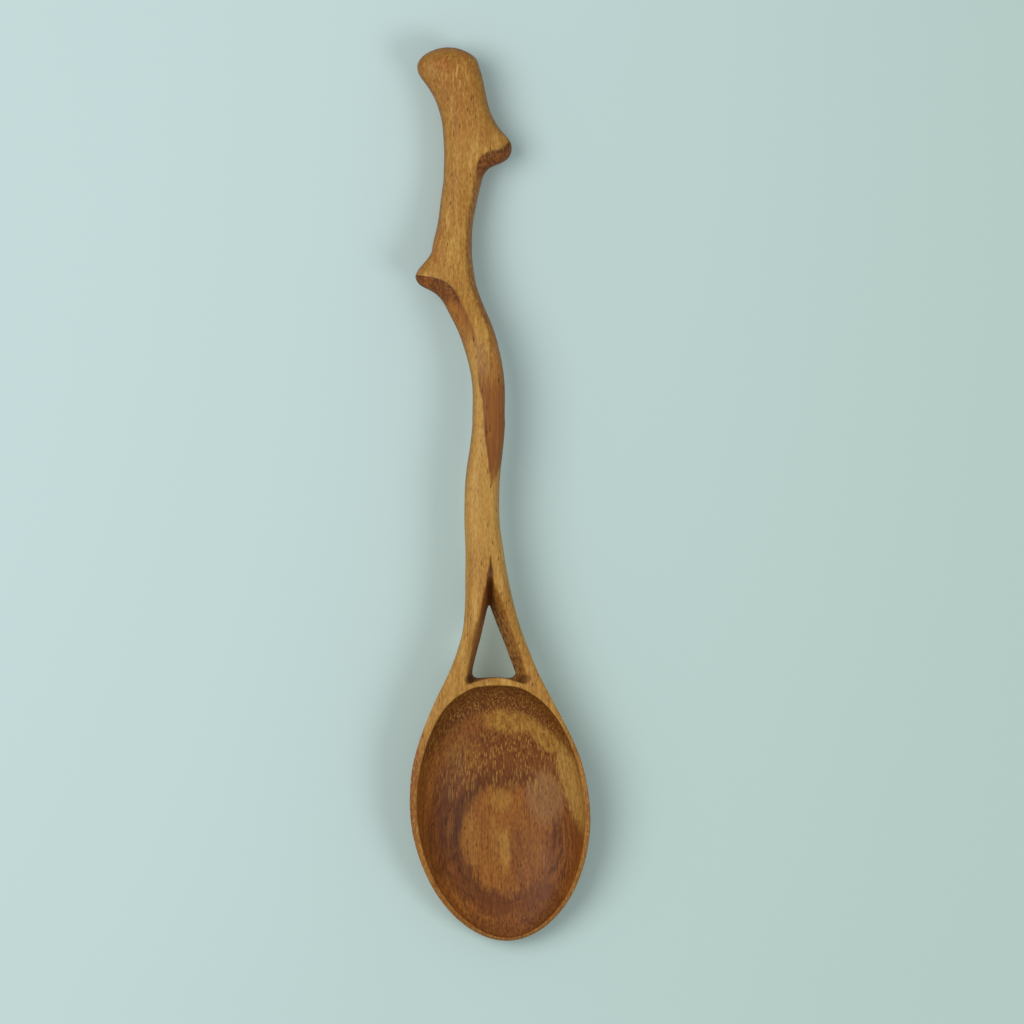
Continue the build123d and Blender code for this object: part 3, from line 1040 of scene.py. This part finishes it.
streak_tint = mix(spot((-2.2, 80.5), (1.5, 4.5), 0, 1.2) * 0.6, streak_tint, red_brown)
streak_tint = mix(rise(ragged + wobble * 0.5, 0.05, 0.3) * 0.3, streak_tint, honey)
colour = mix(brown_streak * 0.93, colour, mix(0.3, streak_tint, red_brown))
colour = mix(dark_border * 0.85, colour, dark_brown)

ridge_patch = spot((-4.3, 102.6), (1.7, 4.6), 10)
colour = mix(ridge_patch * 0.55, colour, sheen_and_ash_brown)
strip_line = [(99.0, -2.2), (105.4, -2.1), (108.5, -2.6), (111.6, -3.6), (116.5, -4.9)]
right_strip = line_across(strip_line, y, x) + ragged * 0.5
strip_length = between(y + ragged * 4, 99, 115, 1.5)
colour = mix(rise(right_strip, 0.0, 0.5) * strip_length * 0.7, colour, amber)
colour = mix(between(right_strip, -0.1, 0.3, 0.3) * strip_length * 0.65, colour, dark_brown)

colour = mix(rise(y, 156, 170) * 0.5, colour, honey)
knob_flush = spot((-12.9, 168.6), (2.2, 1.9)) + spot((-8.3, 171.0), (1.8, 1.2)) * 0.6
colour = mix(knob_flush * 0.85, colour, amber)
short_streak = rise(cloud(vector(x * 1.5, y * 0.3, z * 0.5), 0.0), 0.54, 0.68)
under_flush = spot((-9.6, 165.3), (4.6, 2.6), 10)
colour = mix(under_flush * 0.45, colour, amber)
colour = mix(under_flush * short_streak * 0.75, colour, pale_gold)
olive = spot((-4.6, 159.0), (3.0, 12.0), 12)
colour = mix(olive * 0.45, colour, deep_gold)
middle_flush = spot((-8.3, 155.5), (2.3, 9.0)) + spot((-9.6, 137.0), (1.3, 8.5)) * 0.7
colour = mix(middle_flush * 0.4, colour, amber)
edge_line = [(119.5, -14.0), (126.0, -12.6), (140.0, -11.9), (152.0, -12.0)]
left_edge = line_across(edge_line, y, x) + ragged * 0.4
edge_length = between(y + ragged * 8, 122, 134, 3)
colour = mix(rise(left_edge, 0.3, -0.5) * edge_length * 0.5, colour, amber)
colour = mix(between(left_edge, -0.2, 0.1, 0.3) * edge_length * dark_line * 0.8, colour, dark_brown)
# Painted shade: the steep sides of the handle darken where they turn away from the top.
rightwards, upwards = wood.attribute("rightwards"), wood.attribute("upwards")
painted_side_shade = rise(upwards + ragged * 0.3, 0.65, 0.2) * rise(y, 60, 80)
colour = mix(painted_side_shade * 0.6, colour, chestnut)
# Painted shade on the right side of the shaft, which faces away from the key lamp, partly browner wood too.
right_side = rise(rightwards + ragged * 0.5, 0.4, 0.65) * between(y, 108, 146, 3)
colour = mix(right_side * 0.75, colour, chestnut)
print("handle: a streak, a strip, patches, and browner sides")

# %% [markdown]
# Where the two side twigs were sawn off, the steep flanks were left rough and took up more oil. They also
# face away from the lamp, so their dark colour is partly painted shade. Their borders are drawn lines. Inside
# them a lumpy cloud, not drawn out along the handle, stands for bark and saw marks.

# %% Darken the stubs' flanks
lower_border = [
    (101.0, -4.6), (107.5, -5.3), (110.1, -6.3), (113.0, -7.6), (115.9, -9.0), (117.6, -10.1),
    (119.0, -11.3), (119.9, -12.9), (120.5, -14.8), (120.8, -17.0), (121.1, -19.2),
]
past_border = -line_across(lower_border, y, x) + ragged * 0.5
lower_flank = rise(past_border, -0.3, 0.5) * between(y + ragged * 8, 106.5, 127, 4)
stub_part = rise(y + ragged * 2, 113.5, 116.5)
lower_tint = mix(rise(past_border + ragged * 1.5, 0.3, 3.0), red_brown, amber)
lower_tint = mix(stub_part, lower_tint, mix(rise(past_border, 0.4, 2.4), dark_brown, red_brown))
colour = mix(lower_flank * (stub_part * 0.2 + 0.7), colour, lower_tint)

upper_border = [
    (-5.5, 143.0), (-5.1, 146.2), (-4.1, 148.0), (-2.4, 148.8), (0.2, 149.3), (1.8, 150.8), (3.2, 152.6),
]
under_border = -line_across(upper_border, x, y) + ragged * 0.7
upper_flank = rise(under_border, -0.4, 0.6) * rise(x + ragged * 0.5, -5.6, -5.0)
upper_flank = upper_flank * rise(y + ragged, 141.5, 144.5)
upper_tint = mix(rise(under_border, 0.5, 2.6), dark_brown, red_brown)
colour = mix(upper_flank * 0.92, colour, upper_tint)
colour = mix(lower_flank * dark_line * 0.55, colour, dark_brown)
colour = mix((lower_flank + upper_flank) * halo_and_glint * 0.42, colour, honey)
bark_cloud = grain(1.3, 1.3)
bark_part = lower_flank * stub_part + upper_flank
bark = bark_part * rise(bark_cloud, 0.48, 0.56)
colour = mix(bark * 0.6, colour, dark_brown)
colour = mix(bark_part * rise(bark_cloud, 0.46, 0.38) * 0.4, colour, amber)
print("flanks: 2, with rough bark")

# %% Speckle the handle
fleck = rise(grain(2.4, 0.8), 0.5, 0.68)
dull_fleck = rise(cloud(vector(x * 2.1 + 9, y * 0.55, z * 2.1), 3.0), 0.54, 0.7)
on_gold = (1 - brown_streak) * (1 - lower_flank) * (1 - upper_flank)
colour = mix(on_gold * fleck * 0.3, colour, pale_gold)
colour = mix(on_gold * dull_fleck * 0.4, colour, amber)
colour = mix(dark_grit * 0.24, colour, chestnut)
colour = mix(on_gold * light_grit * 0.28, colour, pale_gold)
print("flecks: light and dull")

# %% [markdown]
# The window's walls cut across the fibres at a slant, so they are darker than the top, and they are darkest
# low down. The mesh carries a number for it, which is 0 at the top edge and 1 at the bottom.

# %% Darken the window's walls
wall = wood.attribute("window_wall")
wall_mask = rise(wall + ragged * 0.16, 0.0, 0.22)
wall_tint = mix(rise(wobble + ragged * 0.8 + wall * 0.6, 0.05, 0.4), amber, red_brown)
wall_tint = mix(rise(wall + ragged * 0.2, 0.45, 0.95) * 0.55, wall_tint, dark_brown)
speckle = rise(grain(1.4, 0.9), 0.46, 0.56)
wall_tint = mix(speckle * 0.75, wall_tint, gold)
crack = spot((-2.3, 52.0), (0.85, 4.2), -3, 0.7) + spot((-2.1, 56.2), (0.22, 2.0), 0, 0.3)
colour = mix(wall_mask * 0.9, colour, wall_tint)
colour = mix(crack * 0.85, colour, dark_brown)
brink = line_across([(29.6, -7.4), (36.6, -6.3), (44.5, -4.6), (51.6, -3.3)], y, x) + ragged * 0.3
left_brink = rise(brink, -0.4, 0.15) * between(y, 30, 51, 1.5) * rise(x + y * 0.05, 1.0, 0.4)
colour = mix(left_brink * 0.55, colour, chestnut)
feet = spot((-6.9, 30.4), (1.1, 1.3), 0, 0.4) + spot((5.4, 30.5), (1.7, 1.1), 15, 0.4)
colour = mix(feet * 0.6, colour, dark_brown)
print("window: walls, crack and feet")

# %% [markdown]
# The hollow cuts through the growth layers as a scoop cuts through an onion, so each layer shows as an oval
# ring. The rings are uneven because the layers are. So these ovals are read in coordinates that the noise has
# bent, and their borders wander as the real ones do.

# %% Draw the hollow's ovals
hollow = wood.attribute("hollow")
# Only these three ovals read the bent coordinates.
straight_x, straight_y = x, y
x = straight_x + wobble * 3.5 + drift * 5 + ragged * 0.8
y = straight_y + ragged * 6 + wobble * 5 + drift * 5
core_edge = oval((-1.6, -5.6), (8.0, 12.4))
inner_edge = oval((1.2, -5.4), (11.2, 12.6))
band_edge = oval((1.0, -1.2), (16.8, 21.0))
x, y = straight_x, straight_y
lip_edge = oval((0.0, 0.8), (18.7, 28.5))
floor_streak = rise(cloud(vector(x * 1.3, y * 0.1, z * 1.3 + 3), 3.0), 0.36, 0.64)

inside = mix(floor_streak, chestnut, amber)
inside = mix(rise(core_edge, 1.15, 0.75) * 0.8, inside, mix(floor_streak, amber, core_gold))
# Patches in the light middle: middle, half size, turn, roughness, share and colour.
core_patches = [
    ((7.5, -10.0), (5.5, 10.0), 0, 1.2, 0.5, chestnut),
    ((1.0, -7.4), (1.4, 5.0), 3, 1.8, 0.6, gold),
    ((-1.3, -4.2), (1.0, 5.6), 2, 2.2, 0.3, gold),
    ((-6.2, -5.0), (1.2, 7.0), 4, 2.2, 0.25, gold),
    ((0.2, 3.4), (2.6, 2.8), 0, 1.6, 0.4, gold),
    ((3.6, -8.0), (1.6, 7.5), 2, 1.3, 0.4, red_brown),
]
for middle, half_size, turn, rough, share, shade in core_patches:
    inside = mix(spot(middle, half_size, turn, rough) * share, inside, shade)
print("patches in the light middle:", len(core_patches))

# %% Draw the dark band round the light middle
band_way = rise((inner_edge - 1) / (inner_edge - band_edge + 0.001), 0.0, 1.0)
in_band = rise(inner_edge, 0.86, 1.06) * rise(band_edge, 1.08, 0.92)
left_or_top = rise(x - y * 0.25, 14, 5)
band_strength = in_band * (left_or_top * 0.58 + 0.3)
band_tint = mix(rise(band_way, 0.0, 0.6), dark_brown, red_brown)
band_tint = mix(rise(y, 4, 12) * 0.5, band_tint, chestnut)
inside = mix(band_strength, inside, band_tint)
pale_corner = spot((-8.3, 13.2), (4.2, 4.6), 0, 1.4)
inside = mix(pale_corner * 0.5, inside, deep_gold)
inside = mix(in_band * left_or_top * dark_line * 0.9, inside, dark_brown)
inside = mix(spot((-11.2, -2.5), (2.6, 12.0), 4, 1.4) * 0.25, inside, dark_brown)
ring_cloud = cloud(vector(inner_edge * 26, y * 0.14, 3.0), 3.0)
lower_band = in_band * rise(y, 9, 0)
inside = mix(lower_band * rise(ring_cloud, 0.49, 0.59) * 0.6, inside, pore_brown)
inside = mix(lower_band * rise(ring_cloud, 0.47, 0.36) * 0.35, inside, amber)
inside = mix(dark_line * 0.5, inside, red_brown)
dashes = spot((13.2, -9.0), (2.4, 9.5), 0, 0.8)
inside = mix(dashes * dark_line * 0.8, inside, dark_brown)
# Painted sheen: a pale grey-brown highlight on the right of the hollow.
inside = mix(spot((10.5, 4.2), (4.8, 6.4), 0, 1.0) * 0.85, inside, sheen_and_ash_brown)
golden_arch = spot((3.0, 21.2), (7.6, 3.2), -8, 0.9) + spot((10.6, 17.2), (4.4, 2.6), -42, 0.9)
right_gold = spot((16.0, 7.0), (2.4, 11.5), 15, 0.9)
inside = mix(golden_arch * 0.85, inside, mix(floor_streak, deep_gold, gold))
inside = mix(right_gold * 0.75, inside, mix(floor_streak, gold, pale_gold))
print("ovals: the dark band and the golden arch")

# %% Darken the hollow's walls
right_band = between(oval((1.2, -5.0), (16.6, 19.5)) + ragged * 0.1, 0.93, 1.03, 0.03) * rise(x, 9, 14)
inside = mix(right_band * (1 - right_gold) * 0.6, inside, red_brown)
end_grain = rise(lip_edge + y * 0.015 + ragged * 0.07, 1.1, 1.2) * rise(y - x * 0.15, 8, 16)
inside = mix(end_grain * 0.85, inside, mix(wobble + 0.5, dark_brown, red_brown))
tip_shade = spot((9.5, -20.5), (6.0, 4.5), 30, 1.0) + spot((-1.0, -20.0), (4.0, 3.0), 0, 1.0)
tip_shade = tip_shade + rise(y, -21, -26)
inside = mix(tip_shade * 0.8, inside, mix(dark_line * 0.6 + 0.2, red_brown, dark_brown))
inside = mix(fibre * 0.22, inside, dark_brown)
inside = mix(dark_grit * 0.36, inside, dark_brown)
inside = mix(light_grit * (1 - in_band) * 0.16, inside, gold)
# The light dots on the back wall and in the arch are partly painted glints on the end grain.
arch_dots = in_band * rise(y, 0, 8)
dots_shown = end_grain * 0.55 + arch_dots * 0.5 * (1 - end_grain) + 0.12
inside = mix(halo_and_glint * dots_shown * (wobble * 1.5 + 0.85), inside, gold)
colour = mix(rise(hollow + ragged * 0.5, 0.1, 0.55), colour, inside)
print("walls of the hollow: right side, end grain and tip")

# %% [markdown]
# Oil makes wood satin, not glossy: it is fairly rough and shines little. The pores, the window's walls and
# the flanks are drier. The fibres stand a few hundredths of a millimetre proud, which is a job for a bump. A
# number that is the same all over is set on the shader itself.

# %% Finish the oiled wood
satin_roughness = 0.48
satin_shine = 0.18
bump_strength = 0.35
bump_depth = 0.04 * mm
colour = mix(pore * 0.8, colour, pore_brown)
wood.fill(wood.shader.inputs["Base Color"], colour)
dry_places = wall_mask * 0.25 + (lower_flank + upper_flank) * 0.12
wood.fill(wood.shader.inputs["Roughness"], satin_roughness + wobble * 0.2 + pore * 0.2 + dry_places)
wood.fill(wood.shader.inputs["Specular IOR Level"], satin_shine)
relief = fibre * 0.25 + wobble * 0.6 - pore - bark * 1.5
bump_inputs = {"Strength": bump_strength, "Distance": bump_depth, "Height": relief}
bump = wood.node("ShaderNodeBump", None, bump_inputs)
wood.fill(wood.shader.inputs["Normal"], bump)
spoon.data.materials.append(wood.material)
print("wood:", len(wood.tree.nodes), "nodes")

# %% [markdown]
# ## The table
#
# The spoon lies on a smooth pale table. Its colour leans from blue on the left to green on the right, a
# painted tint of light from a window and from a wall, and nothing else on it should draw the eye. Under the
# window of the fork a painted shade makes it dimmer and warmer, standing for light that has bounced from leg
# to leg.

# %% Paint the table
paint = Finish("pale_paint")
table_place = paint.node("ShaderNodeTexCoord", None, None, "Object")
across_table, along_table = paint.split(table_place)[:2]
blue_side = from_screen(199, 220, 220)
green_side = from_screen(187, 209, 203)
tone = paint.mix(paint.rise(across_table - along_table * 0.35, -0.15, 0.12), blue_side, green_side)
# Painted shade on the table under the window of the fork.
painted_window_shade = from_screen(168, 180, 168)

# The window's middle and half sizes, in millimetres. It narrows away from the bowl.
window_left, window_up = 1.4, 38
half_length, half_width, taper = 10.5, 6, 3
shade_along = (along_table - window_up * mm) / (half_length * mm)
shade_across = (across_table + window_left * mm) / (half_width * mm - shade_along * taper * mm)
shade_edge = (shade_across * shade_across + shade_along * shade_along) ** 0.5
tone = paint.mix(paint.rise(shade_edge, 1.5, 0.6), tone, painted_window_shade)
paint.fill(paint.shader.inputs["Base Color"], tone)
paint.fill(paint.shader.inputs["Roughness"], 0.6)
table.data.materials.append(paint.material)
print("table painted")

# %% Tie the spoon to the frame
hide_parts("spoon")
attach(spoon, "root")
